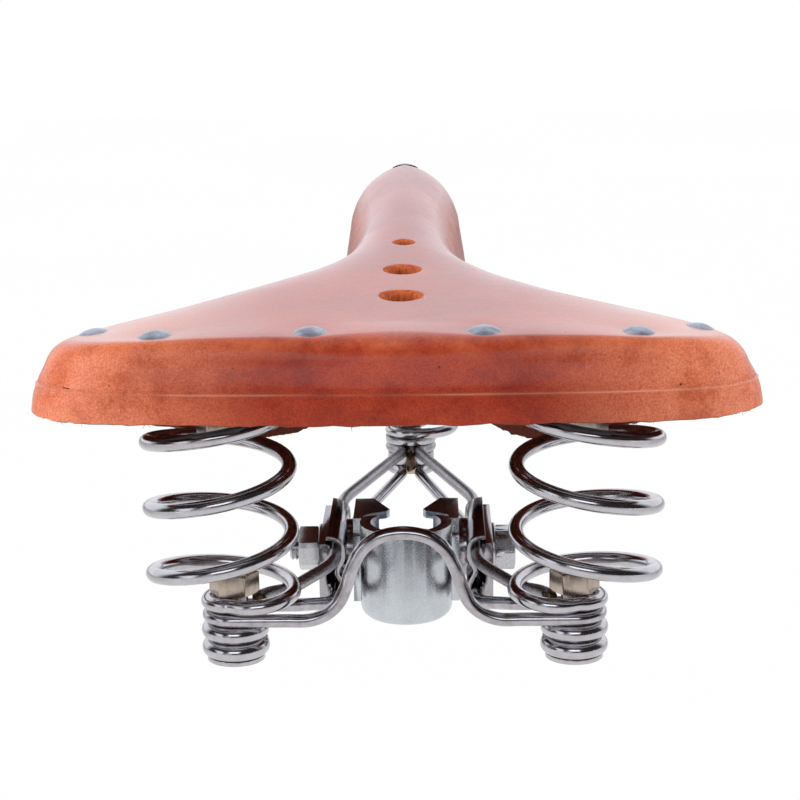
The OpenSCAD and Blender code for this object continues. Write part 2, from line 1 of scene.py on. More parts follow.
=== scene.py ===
"""Looks of a sprung leather bicycle saddle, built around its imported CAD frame."""
import math
import random

import bmesh
import bpy
import numpy as np
from mathutils import Matrix, Vector, noise

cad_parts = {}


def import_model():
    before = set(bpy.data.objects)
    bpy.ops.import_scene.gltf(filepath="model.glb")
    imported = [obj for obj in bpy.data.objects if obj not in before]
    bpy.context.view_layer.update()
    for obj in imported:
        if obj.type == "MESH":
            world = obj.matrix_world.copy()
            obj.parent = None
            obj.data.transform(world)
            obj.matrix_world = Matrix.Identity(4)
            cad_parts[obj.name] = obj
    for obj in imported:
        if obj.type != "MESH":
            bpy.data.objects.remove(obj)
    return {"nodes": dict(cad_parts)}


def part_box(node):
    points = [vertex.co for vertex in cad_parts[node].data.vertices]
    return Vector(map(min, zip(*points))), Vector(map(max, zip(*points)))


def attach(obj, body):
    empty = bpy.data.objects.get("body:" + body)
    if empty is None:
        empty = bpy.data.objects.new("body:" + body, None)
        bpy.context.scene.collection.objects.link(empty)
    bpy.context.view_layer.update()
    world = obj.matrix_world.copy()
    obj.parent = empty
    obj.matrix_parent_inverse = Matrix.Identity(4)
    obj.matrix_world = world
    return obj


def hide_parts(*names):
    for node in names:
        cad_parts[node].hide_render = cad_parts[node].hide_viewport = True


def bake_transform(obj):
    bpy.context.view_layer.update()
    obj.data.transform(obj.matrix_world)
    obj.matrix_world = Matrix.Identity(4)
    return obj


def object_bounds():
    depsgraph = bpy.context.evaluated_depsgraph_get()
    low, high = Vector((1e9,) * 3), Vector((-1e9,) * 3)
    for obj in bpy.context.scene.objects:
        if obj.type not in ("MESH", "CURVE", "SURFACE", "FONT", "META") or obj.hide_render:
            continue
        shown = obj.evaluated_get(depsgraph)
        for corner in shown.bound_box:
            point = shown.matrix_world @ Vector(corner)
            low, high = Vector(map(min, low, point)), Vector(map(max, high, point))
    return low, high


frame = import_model()
cad_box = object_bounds()
NODES = frame["nodes"]
MM = 0.001

# ---------------------------------------------------------------- sizes, in millimetres

HIDE_T = 4.8           # thickness of the hide
SHOULDER = 7           # depth of the rounded shoulder
VENTS = [(-28, 11), (2, 9.6), (36, 5.6)]            # place along the saddle and diameter

BASE_X, BASE_Y = 50.4, -40                          # axis of the right base bolt
TOP_BOLT_X = 52.6
SPRING_FOOT_Z = 18.8
SPRING_WIRE = 4.5
SPRING_TURNS, SPRING_PITCH, SPRING_R = 4.56, 19.95, 20.6
SPRING_AXIS_X = (-53.2, -54.2)                      # of the left spring, low and high
SPRING_LEAN = 0.037
NOSE_Y = 137
NOSE_FOOT_Z = 26.35
NOSE_WIRE = 4.1
NOSE_PITCH, NOSE_SPRING_R = 16.2, 16.1
SPRING_START = -280                                 # angle of the foot of each spring
LOOP_R = 7.6                                        # radius of the small end loops
EASE_FROM, EASE_TURNS = 0.3, 1
WIRE_SIDES = 24

COIL_WIRE_R = 2.65                                  # wire of the small coils under the frame
COIL_Z = 4.45
COIL_FROM, COIL_TO = -5, -640                       # angles of the coil's ends
COIL_STEP, COIL_STEP_TURN = -290, 60                # where it steps down, and over what angle
COIL_AIR = 0.8                                      # between the coil and its bolt
BOLT_R = 4

RAIL_R = 2
RAIL_X = 22.6
RAIL_LOW_Z, RAIL_UP_Z = 8, 20.7
STRAIGHT_BACK, STRAIGHT_FRONT = -13, 60
BACK_BEND, FRONT_BEND = 6, 8
NOSE_LOOP_R = 7.6
NOSE_NECK = (2.6, -9.5)                             # corner of the neck, from the nose bolt
NOSE_LOW_Z, NOSE_UP_Z = 12, 20
BASE_LOOP_R, BASE_LOOP_Z = 7.7, 14.5
ARCH_Z = 41.2

CLAMP_Y, CLAMP_Z = 24, 14.4


# ---------------------------------------------------------------- mesh helpers

def make_mesh(name, points, faces, materials, body=None, smooth=True, slots=None):
    """A mesh piece from points in millimetres. slots gives each face's material."""
    mesh = bpy.data.meshes.new(name)
    mesh.from_pydata((np.asarray(points, float) * MM).tolist(), [], [list(map(int, f)) for f in faces])
    for material in materials:
        mesh.materials.append(material)
    mesh.polygons.foreach_set("use_smooth", [smooth] * len(mesh.polygons))
    if slots is not None:
        mesh.polygons.foreach_set("material_index", list(map(int, slots)))
    mesh.update()
    piece = bpy.data.objects.new(name, mesh)
    bpy.context.scene.collection.objects.link(piece)
    if body:
        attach(piece, body)
    return piece


def grid_faces(rows, cols, closed=True, start=0):
    """Quads between the rows of a grid whose points are numbered row by row."""
    faces = []
    for i in range(rows - 1):
        for j in range(cols if closed else cols - 1):
            a, b = start + i * cols + j, start + i * cols + (j + 1) % cols
            faces.append((a, b, b + cols, a + cols))
    return faces


def unit(v):
    return v / np.linalg.norm(v, axis=-1, keepdims=True)


def tube(path, radius, sides=20, rounding=0.35):
    """Points and faces of a wire swept along a path that is never upright, with eased ends."""
    path = np.asarray(path, float)
    ahead = unit(np.gradient(path, axis=0))
    side = unit(np.cross(ahead, [0, 0, 1]))
    over = np.cross(side, ahead)
    radii = np.broadcast_to(radius, len(path)).astype(float)
    path = np.concatenate([path[:1] - ahead[:1] * rounding, path, path[-1:] + ahead[-1:] * rounding])
    side, over = (np.concatenate([v[:1], v, v[-1:]]) for v in (side, over))
    radii = np.concatenate([radii[:1] - rounding, radii, radii[-1:] - rounding])
    turn = np.arange(sides) * 2 * math.pi / sides
    ring = np.cos(turn)[None, :, None] * side[:, None] + np.sin(turn)[None, :, None] * over[:, None]
    points = (path[:, None] + ring * radii[:, None, None]).reshape(-1, 3)
    faces = [tuple(reversed(f)) for f in grid_faces(len(path), sides)]
    last = (len(path) - 1) * sides
    faces.append(tuple(range(sides)))
    faces.append(tuple(last + j for j in reversed(range(sides))))
    return points, faces


def lathe(profile, sides=64, thread=None, flats=None):
    """Points and faces turned about Z from (radius, height) pairs. thread is (pitch, depth, from, to).
    flats is (width across, from, to) and cuts a hexagon between those heights."""
    points = []
    for radius, height in profile:
        for j in range(sides):
            turn = 2 * math.pi * j / sides
            r = radius
            if thread and thread[2] <= height <= thread[3]:
                phase = (height / thread[0] - j / sides) % 1
                r -= thread[1] * (1 - abs(2 * phase - 1)) ** 0.8
            if flats and flats[1] <= height <= flats[2]:
                side = math.radians(60)
                r = min(r, flats[0] / 2 / math.cos((turn + side / 2) % side - side / 2))
            points.append((r * math.cos(turn), r * math.sin(turn), height))
    faces = grid_faces(len(profile), sides)
    faces.append(tuple(reversed(range(sides))))
    faces.append(tuple((len(profile) - 1) * sides + j for j in range(sides)))
    return np.array(points), faces


def merged(parts):
    """One set of points and faces from several."""
    points, faces, shift = [], [], 0
    for some_points, some_faces in parts:
        points.append(some_points)
        faces += [tuple(i + shift for i in f) for f in some_faces]
        shift += len(some_points)
    return np.concatenate(points), faces


def mirrored(part):
    points, faces = part
    return points * [-1, 1, 1], [tuple(reversed(f)) for f in faces]


def placed(part, origin=(0, 0, 0), matrix=None):
    points, faces = part
    if matrix is not None:
        points = points @ np.array(matrix).T
    return points + np.array(origin, float), faces


def ease(t):
    t = np.clip(t, 0, 1)
    return t * t * (3 - 2 * t)


# ---------------------------------------------------------------- materials

class Finish:
    """A procedural material whose nodes are made by short calls that return output sockets."""

    def __init__(self, name, **values):
        self.material = bpy.data.materials.new(name)
        self.material.use_nodes = True
        self.tree = self.material.node_tree
        self.shader = self.tree.nodes["Principled BSDF"]
        self.place = self.tree.nodes.new("ShaderNodeTexCoord").outputs["Object"]
        self.set(**values)

    def link(self, socket, value):
        if isinstance(value, bpy.types.NodeSocket):
            self.tree.links.new(value, socket)
        elif isinstance(value, tuple) and len(value) == 3 and socket.type == "RGBA":
            socket.default_value = (*value, 1)
        else:
            socket.default_value = value

    def set(self, **values):
        for name, value in values.items():
            self.link(self.shader.inputs[name.replace("_", " ")], value)

    def node(self, kind, inputs=(), output=0, **settings):
        made = self.tree.nodes.new(kind)
        for name, value in settings.items():
            setattr(made, name, value)
        for key, value in dict(inputs).items():
            self.link(made.inputs[key], value)
        return made.outputs[output]

    def noise(self, per_metre, detail=4, roughness=0.5, stretch=(1, 1, 1)):
        place = self.node("ShaderNodeMapping", {"Vector": self.place, "Scale": stretch})
        return self.node("ShaderNodeTexNoise", {"Vector": place, "Scale": per_metre, "Detail": detail,
                                                "Roughness": roughness})

    def cells(self, per_metre, feature="F1", output="Distance"):
        return self.node("ShaderNodeTexVoronoi", {"Vector": self.place, "Scale": per_metre},
                         output=output, feature=feature)

    def ramp(self, value, *stops):
        """Colours or greys against a value: stops are (position, colour)."""
        made = self.tree.nodes.new("ShaderNodeValToRGB")
        self.tree.links.new(value, made.inputs[0])
        elements = made.color_ramp.elements
        while len(elements) < len(stops):
            elements.new(0.5)
        for element, (position, colour) in zip(elements, stops):
            element.position = position
            element.color = (*colour, 1) if isinstance(colour, tuple) else (colour, colour, colour, 1)
        return made.outputs[0]

    def mix(self, amount, a, b, blend="MIX"):
        made = self.tree.nodes.new("ShaderNodeMix")
        made.data_type = "RGBA"
        made.blend_type = blend
        self.link(made.inputs[0], amount)
        self.link(made.inputs[6], a)
        self.link(made.inputs[7], b)
        return made.outputs[2]

    def maths(self, operation, a, b=0.0, clamp=False):
        return self.node("ShaderNodeMath", {0: a, 1: b}, operation=operation, use_clamp=clamp)

    def attribute(self, name):
        return self.node("ShaderNodeAttribute", output="Fac", attribute_name=name)

    def bump(self, height, distance_mm, strength=1.0, after=None):
        inputs = {"Height": height, "Distance": distance_mm * MM, "Strength": strength}
        if after is not None:
            inputs["Normal"] = after
        normal = self.node("ShaderNodeBump", inputs)
        self.set(Normal=normal)
        return normal


def hide_finish():
    """Grain side of the leather: mottled orange brown under a satin wax, with fine pores."""
    f = Finish("leather_hide", Specular_IOR_Level=0.3)
    skirt = f.attribute("skirt")
    clouds = f.noise(20, 5, 0.6)
    patches = f.noise(70, 6, 0.68)
    grain = f.noise(1900, 3, 0.75)
    brown = f.ramp(clouds, (0.32, (0.31, 0.03, 0.007)), (0.5, (0.4, 0.042, 0.01)),
                   (0.68, (0.52, 0.068, 0.016)))
    # Paler towards the wings: partly lighter, worn dye, partly painted sheen and the painted extra light that
    # the sides catch.
    across = f.maths("ABSOLUTE", f.node("ShaderNodeSeparateXYZ", {0: f.place}, output="X"))
    wing_wear_and_sheen = f.ramp(f.maths("MULTIPLY", across, 10), (0.35, 0.0), (0.8, 1.0))
    brown = f.mix(f.maths("MULTIPLY", wing_wear_and_sheen, 0.85), brown, (0.76, 0.25, 0.135))
    smudges = f.ramp(patches, (0.36, (0.68, 0.46, 0.36)), (0.5, (0.95, 0.88, 0.84)),
                     (0.64, (1.03, 1.1, 1.12)))
    brown = f.mix(f.maths("ADD", f.maths("MULTIPLY", skirt, 0.6), 0.25), brown, smudges, "MULTIPLY")
    brown = f.mix(f.maths("ADD", f.maths("MULTIPLY", skirt, 0.75), 0.2), brown,
                  f.ramp(grain, (0.36, (0.66, 0.5, 0.42)), (0.62, (1.05, 1.08, 1.08))), "MULTIPLY")
    # Painted shade: the middle of the skirt, away from the wings, is darkened where it faces the dark front
    # of the studio.
    middle = f.maths("MULTIPLY", skirt, f.maths("SUBTRACT", 1.0, wing_wear_and_sheen))
    brown = f.mix(middle, brown, (0.79, 0.7, 0.62), "MULTIPLY")
    worn = f.maths("MULTIPLY", f.attribute("shoulder"), f.ramp(f.noise(130, 4, 0.7), (0.35, 0.0), (0.7, 1.0)))
    brown = f.mix(f.maths("MULTIPLY", worn, 0.35), brown, (0.75, 0.2, 0.07))
    # Painted highlight: a paler streak along the pressed line, broken up by noise, stands for the light its
    # ridge catches.
    painted_line_highlight = f.maths("MULTIPLY", f.attribute("line"), f.ramp(f.noise(25, 3), (0.35, 0.1), (0.62, 1.0)))
    brown = f.mix(f.maths("MULTIPLY", painted_line_highlight, 0.5), brown, (0.8, 0.36, 0.2))
    specks = f.ramp(f.cells(170), (0.035, 0.12), (0.08, 1.0))
    rare = f.ramp(f.noise(60, 2), (0.5, 0.0), (0.56, 1.0))
    brown = f.mix(rare, brown, f.mix(1.0, brown, specks, "MULTIPLY"))
    f.set(Base_Color=brown, Roughness=f.ramp(grain, (0.3, 0.46), (0.7, 0.32)),
          Coat_Weight=f.maths("SUBTRACT", 1.0, f.maths("MULTIPLY", skirt, 0.7)),
          Coat_IOR=1.6, Coat_Tint=(0.95, 0.97, 1.0),
          Coat_Roughness=f.ramp(patches, (0.3, 0.16), (0.7, 0.28)))
    pebbles = f.maths("ADD", f.cells(1000, "SMOOTH_F1"), f.maths("MULTIPLY", grain, 0.8))
    skirt_only = f.maths("ADD", f.maths("MULTIPLY", skirt, 0.8), 0.2)
    first = f.bump(f.noise(160, 5, 0.6), 0.22, 0.6)
    f.bump(f.maths("MULTIPLY", pebbles, skirt_only), 0.13, 0.9, after=first)
    return f.material


def flesh_finish():
    """Suede-like inner side and cut edge."""
    f = Finish("leather_flesh", Roughness=0.85, Specular_IOR_Level=0.2, Sheen_Weight=0.5,
               Sheen_Roughness=0.5, Sheen_Tint=(0.6, 0.25, 0.16))
    fibres = f.noise(900, 6, 0.75, (1, 1, 0.35))
    colour = f.ramp(fibres, (0.3, (0.07, 0.011, 0.007)), (0.7, (0.22, 0.04, 0.022)))
    f.set(Base_Color=colour)
    f.bump(fibres, 0.5, 1.0)
    return f.material


def raw_edge_finish():
    """Punched edge of a vent: pale orange fibres."""
    f = Finish("leather_raw_edge", Roughness=0.7, Specular_IOR_Level=0.3)
    fibres = f.noise(1100, 6, 0.8, (1, 1, 0.3))
    f.set(Base_Color=f.ramp(fibres, (0.25, (0.16, 0.022, 0.008)), (0.55, (0.62, 0.14, 0.045)),
                            (0.8, (0.85, 0.32, 0.13))))
    f.bump(fibres, 0.6, 1.0)
    return f.material


def bright_metal(name, colour, rough=(0.1, 0.2), dirt=0.12, bump=0.02):
    """Polished or plated wire and fasteners, with faint cloudy wear."""
    f = Finish(name, Metallic=1.0)
    clouds = f.noise(240, 5, 0.6)
    fine = f.noise(2600, 3, 0.7, (1, 1, 0.4))
    dull = tuple(c * (1 - dirt) * t for c, t in zip(colour, (1.0, 0.95, 0.9)))
    f.set(Base_Color=f.ramp(clouds, (0.32, dull), (0.58, colour)),
          Roughness=f.ramp(f.maths("ADD", f.maths("MULTIPLY", clouds, 0.6), f.maths("MULTIPLY", fine, 0.4)),
                           (0.3, rough[0]), (0.7, rough[1])))
    f.bump(fine, bump, 0.6)
    return f.material


def rough_zinc(name, light, dark, rough, bump=0.12, stain=0.3, pitted=0.6):
    """Galvanised or zinc-plated steel: a finely granular, slightly stained skin."""
    f = Finish(name, Metallic=1.0)
    grains = f.noise(1900, 4, 0.8)
    clouds = f.noise(120, 5, 0.65)
    pits = f.ramp(f.cells(520), (0.04, pitted), (0.12, 1.0))
    grey = f.mix(f.ramp(grains, (0.35, 0.0), (0.65, 1.0)), dark, light)
    grey = f.mix(f.maths("MULTIPLY", f.ramp(clouds, (0.42, 0.0), (0.7, 1.0)), stain), grey,
                 tuple(c * 0.5 for c in dark))
    grey = f.mix(f.ramp(clouds, (0.3, 0.0), (0.55, 0.8)), grey, f.mix(1.0, grey, pits, "MULTIPLY"))
    f.set(Base_Color=grey, Roughness=f.ramp(grains, (0.3, rough - 0.05), (0.7, rough + 0.07)))
    f.bump(f.maths("ADD", grains, f.maths("MULTIPLY", clouds, 1.5)), bump, 0.6, after=dished(f))
    return f.material


def dished(f):
    """Normals whose upward faces lean back a little, as on pressed sheet that isn't quite flat."""
    normal = f.node("ShaderNodeNewGeometry", output="Normal")
    up = f.ramp(f.node("ShaderNodeSeparateXYZ", {0: normal}, output="Z"), (0.6, 0.0), (0.95, 1.0))
    lean = f.node("ShaderNodeCombineXYZ", {"Y": f.maths("MULTIPLY", up, -0.22)})
    leant = f.node("ShaderNodeVectorMath", {0: normal, 1: lean}, operation="ADD")
    return f.node("ShaderNodeVectorMath", {0: leant}, operation="NORMALIZE")


def enamel_finish():
    """Black stoved enamel of the plates under the hide."""
    f = Finish("black_enamel", Coat_Weight=0.6, Coat_Roughness=0.15)
    clouds = f.noise(90, 4)
    f.set(Base_Color=f.ramp(clouds, (0.3, (0.012, 0.012, 0.013)), (0.7, (0.035, 0.033, 0.032))),
          Roughness=f.ramp(f.noise(700, 4), (0.3, 0.35), (0.7, 0.55)))
    f.bump(f.noise(500, 4), 0.1, 0.5)
    return f.material


def braze_finish():
    """Brass run around a joint, with dark flux."""
    f = Finish("braze", Metallic=0.9)
    f.set(Base_Color=f.ramp(f.noise(700, 4, 0.7), (0.3, (0.04, 0.025, 0.02)), (0.65, (0.2, 0.13, 0.08))),
          Roughness=0.42)
    f.bump(f.noise(900, 4), 0.3, 0.8)
    return f.material


HIDE = hide_finish()
FLESH = flesh_finish()
RAW_EDGE = raw_edge_finish()
CHROME = bright_metal("spring_chrome", (0.6, 0.59, 0.63), (0.11, 0.2))
RAIL_CHROME = bright_metal("rail_chrome", (0.54, 0.52, 0.56), (0.1, 0.2), 0.25)
NICKEL = bright_metal("warm_nickel", (0.55, 0.46, 0.39), (0.18, 0.3), 0.3, 0.05)
RIVET = bright_metal("rivet_steel", (0.4, 0.43, 0.51), (0.14, 0.26), 0.45, 0.04)
BOLT_ZINC = rough_zinc("bolt_zinc", (0.66, 0.66, 0.69), (0.5, 0.5, 0.52), 0.19, 0.03, 0.2, 0.85)
ZINC = rough_zinc("blue_zinc", (0.76, 0.79, 0.83), (0.58, 0.62, 0.66), 0.23, 0.035, 0.2, 0.75)
CHEEK_ZINC = rough_zinc("dull_zinc", (0.52, 0.5, 0.52), (0.4, 0.38, 0.4), 0.12, 0.02, 0.25, 0.9)
RAIL_ZINC = rough_zinc("rail_zinc", (0.6, 0.58, 0.61), (0.34, 0.32, 0.34), 0.28, 0.16, 0.4, 0.4)
ENAMEL = enamel_finish()
BRAZE = braze_finish()


# ---------------------------------------------------------------- leather

# Each row is a place on the edge of the right half, from the nose tip to the middle of the back:
# shoulder x, y, z and hem x, y, z
EDGE = np.array([
    [0, 188, 113, 0, 194, 86],
    [10, 185.3, 112, 12, 190, 83],
    [17.2, 177.5, 110.3, 20, 181.5, 78],
    [20, 162, 109.3, 23, 164, 71],
    [20, 143, 107.8, 24.1, 143, 64.5],
    [18.6, 120, 105.5, 23.9, 120, 60],
    [18, 96, 103.2, 24.4, 96, 57],
    [19.2, 72, 101.6, 27, 72, 54],
    [22.6, 50, 100.4, 31, 50, 52.5],
    [30.5, 30, 99.8, 38.5, 29, 52.2],
    [42.5, 12, 99.8, 50, 9, 55],
    [57, -5, 100.3, 64, -8, 62.6],
    [72, -21, 100.9, 79, -22.5, 69.2],
    [86.2, -36, 100.5, 93.5, -35.5, 76],
    [96, -49, 100.3, 103.2, -47.5, 79.9],
    [95, -63, 101.1, 100.6, -64, 81.1],
    [82.4, -71.5, 102.7, 85.4, -74, 81.1],
    [58, -73.8, 103.8, 60, -77, 81],
    [29, -74.7, 104, 30, -78.3, 81],
    [0, -75, 104, 0, -78.7, 81]])
FLIP = np.array([-1, 1, 1, -1, 1, 1])
KEY_STEPS = 12
CREST = np.array([[-74, 104.3], [-28, 107.4], [2, 110.2], [36, 113.9], [72, 117.3], [110, 120.3],
                  [145, 122.9], [170, 124]])
crest_z = np.polynomial.Polynomial.fit(CREST[:, 0], CREST[:, 1], 3)
BACK_Y, NOSE_TIP_Y = -75, 188
SPINE_BACK, SPINE_FRONT = -56, 166
DISH = 2.3             # how flat the top stays beside the spine
# Rows of the hide's grid: its top, its rounded shoulder, the wall down to the pressed line, and the line
TOP_ROWS, ROUND_ROWS, WALL_ROWS, LINE_ROWS = 32, 11, 9, 9

LINE_UP = 8.5          # height of the pressed line above the hem
LINE_DEPTH = 0.34
REAR_RIVETS = [(23.9, -66.5), (66.8, -64.5), (86.5, -48)]


def closed_curve(keys, steps):
    """A smooth closed curve through the keys, with that many points to each."""
    t = (np.arange(steps) / steps)[None, :, None]
    a, b, c, d = (np.roll(keys, shift, axis=0)[:, None] for shift in (1, 0, -1, -2))
    curve = 0.5 * (2 * b + (c - a) * t + (2 * a - 5 * b + 4 * c - d) * t ** 2
                   + (3 * b - a - 3 * c + d) * t ** 3)
    return curve.reshape(-1, keys.shape[1])


def blend_points(a, b, w):
    return a + (b - a) * np.asarray(w, float)[..., None]


def hide_surface(depth):
    """Points [row, column, xyz] of the hide's surface that far below its outside, and the outward direction
    at each column.
    """
    keys = np.concatenate([EDGE, EDGE[-2:0:-1] * FLIP])
    edge = closed_curve(keys, KEY_STEPS)
    span_x, span_y = (np.roll(edge, -3, axis=0) - np.roll(edge, 3, axis=0))[:, :2].T
    spine = np.zeros((len(edge), 3))
    spine[:, 1] = SPINE_BACK + (edge[:, 1] - BACK_Y) * (SPINE_FRONT - SPINE_BACK) / (NOSE_TIP_Y - BACK_Y)
    spine[:, 2] = crest_z(spine[:, 1]) - depth
    out = np.stack([-span_y, span_x, span_x * 0], axis=1)
    inward = (out[:, 0] * edge[:, 0] + out[:, 1] * (edge[:, 1] - spine[:, 1])) < 0
    out = unit(np.where(inward[:, None], -out, out))
    rim = edge[:, :3] - out * depth - [0, 0, depth]
    hem = edge[:, 3:] - out * depth
    reach = np.linalg.norm((rim - spine)[:, :2], axis=1)
    rim_share = 1 - SHOULDER / reach

    def top_at(share):
        point = blend_points(spine, rim, share)
        point[:, 2] = spine[:, 2] + (rim[:, 2] - spine[:, 2]) * share ** DISH
        return point

    round_r = max(SHOULDER - depth * 0.7, 2)
    fall = unit(hem - rim)
    down = rim + fall * round_r
    edge_in = top_at(rim_share)
    rows = [top_at(rim_share * (i / TOP_ROWS) ** 1.25) for i in range(TOP_ROWS)]
    for w in np.linspace(0, 1, ROUND_ROWS):
        rows.append((1 - w) ** 2 * edge_in + 2 * w * (1 - w) * rim + w * w * down)
    skirt = np.linalg.norm(hem - down, axis=1)
    line = skirt - LINE_UP
    steps = [line * w for w in np.linspace(0.1, 0.86, WALL_ROWS)]
    steps += [line + q for q in np.linspace(-1.1, 1.1, LINE_ROWS)]
    steps += [skirt + q for q in (-6, -4.6, -3.2, -2, -1.1, -0.5, 0)]
    for step in steps:
        point = down + fall * step[:, None]
        if depth == 0:
            point = point + out * skirt_relief(step, skirt)[:, None]
        rows.append(point)
    return np.array(rows), out


def skirt_relief(step, skirt):
    """How far the outside of the skirt stands out: a slight belly, and the pressed line."""
    belly = 0.9 * np.sin(np.pi * np.clip(step / skirt, 0, 1))
    q = step - (skirt - LINE_UP)
    return belly - LINE_DEPTH * 0.5 * np.exp(-((q + 0.55) / 0.3) ** 2) + LINE_DEPTH * np.exp(-(q / 0.28) ** 2)


def settle(rows):
    """Hand-made leather isn't quite even: the nose leans left, the left flank is fuller and the
    right wing narrower."""
    x, y, z = rows[..., 0].copy(), rows[..., 1].copy(), rows[..., 2].copy()
    wing = ease((x - 30) / 75) * ease((20 - y) / 40)
    tip = ease((x - 86) / 17) * ease((20 - y) / 40)
    flank = np.exp(-((x + 42) / 26) ** 2) * np.exp(-((y - 8) / 42) ** 2)
    rows[..., 0] = x - 0.5 - 0.0042 * (y + 75) - 1.1 * wing - 0.5 * ease((-x - 60) / 40)
    rows[..., 2] = z + 1.3 * flank + (0.6 - 1.5 * ease((z - 82) / 20)) * tip


def wobble(point, per_mm, seed):
    return noise.noise(Vector(point) * per_mm + Vector((seed, 0, 0)))


def roughen(outer, inner, out):
    """Makes the surface uneven: soft waves all over, dimples at the rivets and a ragged hem."""
    rows, cols = outer.shape[:2]
    for x, y in REAR_RIVETS:
        for sign in (-1, 1):
            far = np.hypot(outer[..., 0] - sign * x, outer[..., 1] - y)
            outer[..., 2] -= 0.5 * np.exp(-(far / 7.5) ** 2) * (outer[..., 2] > 99)
    for j in range(cols):
        for i in range(8, rows):
            outer[i, j] += out[j] * (0.32 * wobble(outer[i, j], 0.045, 3) + 0.1 * wobble(outer[i, j], 0.2, 7))
        ragged = 0.55 * wobble(outer[-1, j], 0.12, 11) + 0.34 * wobble(outer[-1, j], 0.7, 13)
        outer[-4:, j, 2] += ragged * np.array([0.15, 0.45, 0.8, 1])
        inner[-1, j, 2] += ragged + 0.5 * wobble(inner[-1, j], 0.5, 17)


def leather_grid():
    """The closed shell: outside rows from the spine to the hem, then inside rows back up."""
    outer, out = hide_surface(0)
    inner, _ = hide_surface(HIDE_T)
    roughen(outer, inner, out)
    settle(outer)
    settle(inner)
    cut_out = outer[-1] - out * 0.7 - [0, 0, 0.35]
    cut_in = inner[-1] + out * 0.8 - [0, 0, 0.1]
    middle = (cut_out + cut_in) / 2
    for j in range(len(middle)):
        middle[j, 2] -= 0.25 + 0.5 * wobble(middle[j], 0.9, 23)
    rows = np.concatenate([outer, [cut_out, middle, cut_in], inner[::-1]])
    return rows, len(outer)


def vent_cutter(place, diameter):
    """A punch with a worn, flared mouth, square to the top of the saddle."""
    r = diameter / 2
    profile = [(r - 0.15, -9), (r, -2.4), (r + 0.08, -1.3), (r + 0.35, -0.6), (r + 0.85, -0.12),
               (r + 1.5, 0.3), (r + 2.4, 2.2)]
    slope = math.atan(crest_z.deriv()(place))
    points, faces = placed(lathe(profile, 56), matrix=Matrix.Rotation(slope, 3, "X"))
    for point in points:
        swell = 0.16 * wobble(point, 0.8, 31 + place)
        point[:2] *= 1 + swell / r
    points += [0, place, crest_z(place)]
    return make_mesh(f"vent_cutter_{place + 100}", points, faces, [RAW_EDGE])


def set_attribute(mesh, name, values):
    layer = mesh.attributes.new(name, "FLOAT", "POINT")
    layer.data.foreach_set("value", np.asarray(values, np.float32))


def weld(mesh):
    """Joins points that coincide and turns all faces outwards."""
    work = bmesh.new()
    work.from_mesh(mesh)
    bmesh.ops.remove_doubles(work, verts=work.verts, dist=0.02 * MM)
    bmesh.ops.recalc_face_normals(work, faces=work.faces)
    work.to_mesh(mesh)
    work.free()


def leather():
    rows, outside = leather_grid()
    count, cols = rows.shape[:2]
    faces = grid_faces(count, cols)
    slots = [0 if i // cols < outside - 1 else 1 for i in range(len(faces))]
    piece = make_mesh("saddle_leather", rows.reshape(-1, 3), faces, [HIDE, FLESH, RAW_EDGE], slots=slots)
    row = np.repeat(np.arange(count), cols)
    set_attribute(piece.data, "skirt", np.clip((row - TOP_ROWS + 1) / 5, 0, 1))
    line_row = TOP_ROWS + ROUND_ROWS + WALL_ROWS + LINE_ROWS // 2
    shoulder_row = TOP_ROWS + 4.5
    set_attribute(piece.data, "line", np.exp(-((row - line_row) / 0.8) ** 2))
    set_attribute(piece.data, "shoulder", np.exp(-((row - shoulder_row) / 3.2) ** 2))
    weld(piece.data)
    for place, diameter in VENTS:
        cutter = vent_cutter(place, diameter)
        cut = piece.modifiers.new("vent", "BOOLEAN")
        cut.operation = "DIFFERENCE"
        cut.solver = "EXACT"
        cut.material_mode = "TRANSFER"
        cut.object = cutter
        apply_modifiers(piece)
        bpy.data.objects.remove(cutter)
    piece.data.set_sharp_from_angle(angle=math.radians(50))
    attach(piece, "seat_top")
    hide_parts("leather_cover")
    return piece


def apply_modifiers(piece):
    bpy.context.view_layer.update()
    solid = bpy.data.meshes.new_from_object(piece.evaluated_get(bpy.context.evaluated_depsgraph_get()))
    piece.modifiers.clear()
    piece.data = solid


def rivets():
    """The domed rivets, which sit where the uneven hide puts them."""
    for name in ("rear_rivets", "nose_rivets"):
        mesh = NODES[name].data
        points = np.empty(3 * len(mesh.vertices), np.float32)
        mesh.vertices.foreach_get("co", points)
        points = points.reshape(-1, 3).astype(float) / MM
        settle(points)
        faces = [tuple(face.vertices) for face in mesh.polygons]
        piece = make_mesh(name + "_domed", points, faces, [RIVET], "seat_top")
        weld(piece.data)
        piece.data.set_sharp_from_angle(angle=math.radians(40))
        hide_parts(name)


def hem_fibres(rows, outside):
    """Loose fibres along the cut edge of the hide."""
    rng = random.Random(5)
    hem = rows[outside + 1]
    parts = []
    for _ in range(620):
        j = rng.randrange(len(hem))
        start = Vector(hem[j]) + Vector((rng.uniform(-0.6, 0.6), rng.uniform(-0.9, 0.9), 0.5))
        length = rng.uniform(0.7, 2.3) * rng.random() ** 0.4
        lean = Vector((rng.uniform(-1, 1), rng.uniform(-1, 1), -rng.uniform(0.25, 0.9))).normalized()
        curl = Vector((rng.uniform(-1, 1), rng.uniform(-1, 1), rng.uniform(-0.4, 0.4))) * 0.5
        path = [start + lean * length * t + curl * length * t * t for t in (0, 0.35, 0.7, 1)]
        parts.append(tube(path, np.array([0.085, 0.07, 0.05, 0.025]), sides=4, rounding=0.01))
    piece = make_mesh("hem_fibres", *merged(parts), [FLESH], "seat_top")


# ---------------------------------------------------------------- wire springs

def ramp(t):
    s = np.maximum(t - EASE_FROM, 0) / EASE_TURNS
    return EASE_TURNS * np.where(s <= 1, s ** 3 - s ** 4 / 2, s - 0.5)


